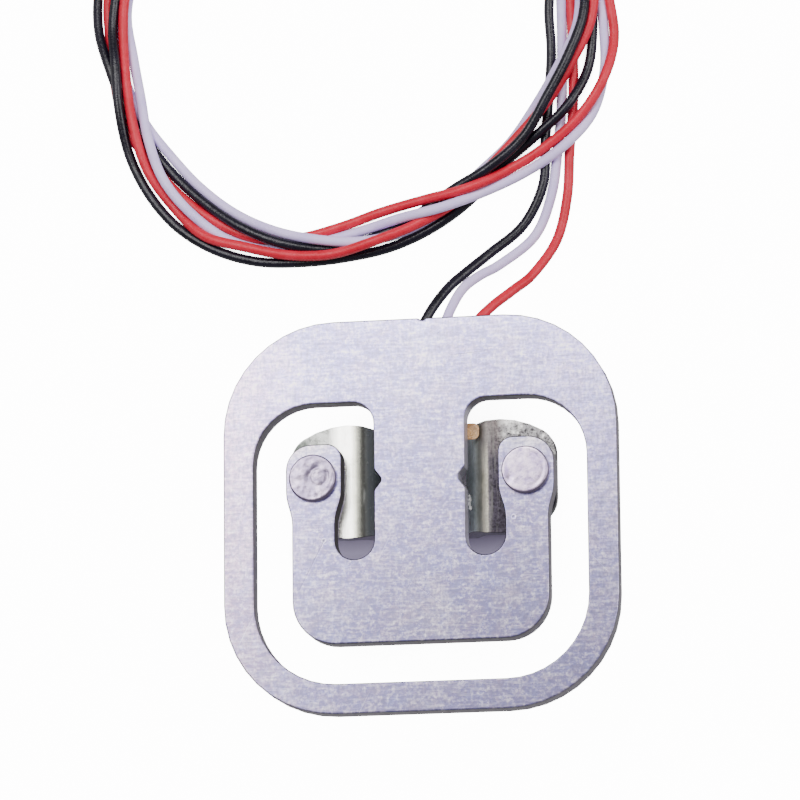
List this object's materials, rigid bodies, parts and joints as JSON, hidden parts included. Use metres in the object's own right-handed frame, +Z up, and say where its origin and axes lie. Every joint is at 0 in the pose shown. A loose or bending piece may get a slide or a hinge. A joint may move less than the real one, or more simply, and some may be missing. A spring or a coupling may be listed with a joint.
{
  "type": "half-bridge load cell",
  "caption": "Half-bridge load cell: stamped steel plate with ring, bending beam and eared pad, riveted load bracket, foil strain gauge and coiled leads.",
  "frame": {"origin": "below the middle of the square plate, in the plane of the bracket web's underside", "axes": "+Z up, square to the plate, plain face up; +Y from the pad to the beam's root, the side the leads leave on; +X to the right, along the line of the rivets"},
  "size_m": [0.0519, 0.0885, 0.0081],
  "materials": {
    "plated_steel": "satin zinc plating with fine rolling lines",
    "yellow_zinc": "glossy yellowish zinc plating",
    "rivet_steel": "satin zinc plating, dented by the riveting punch",
    "polyimide": "glossy amber film",
    "constantan": "etched foil",
    "tinned_copper": "solder and tinned strands",
    "silicone": "milky sealant",
    "insulation_black": "soft PVC sleeve",
    "insulation_white": "soft PVC sleeve",
    "insulation_red": "soft PVC sleeve"
  },
  "bodies": {
    "root": {"sensor_plate": "plated_steel", "load_bracket": "yellow_zinc", "rivet_left": "rivet_steel", "rivet_right": "rivet_steel", "gauge_film": "polyimide", "gauge_foil": "constantan", "gauge_sealant": "silicone", "solder_black": "tinned_copper", "core_black": "tinned_copper", "lead_black": "insulation_black", "tail_black": "insulation_black", "tip_black": "tinned_copper", "solder_white": "tinned_copper", "core_white": "tinned_copper", "lead_white": "insulation_white", "tail_white": "insulation_white", "tip_white": "tinned_copper", "solder_red": "tinned_copper", "core_red": "tinned_copper", "lead_red": "insulation_red", "tail_red": "insulation_red", "tip_red": "tinned_copper", "lead_coil": "insulation_black"}
  },
  "joints": []
}
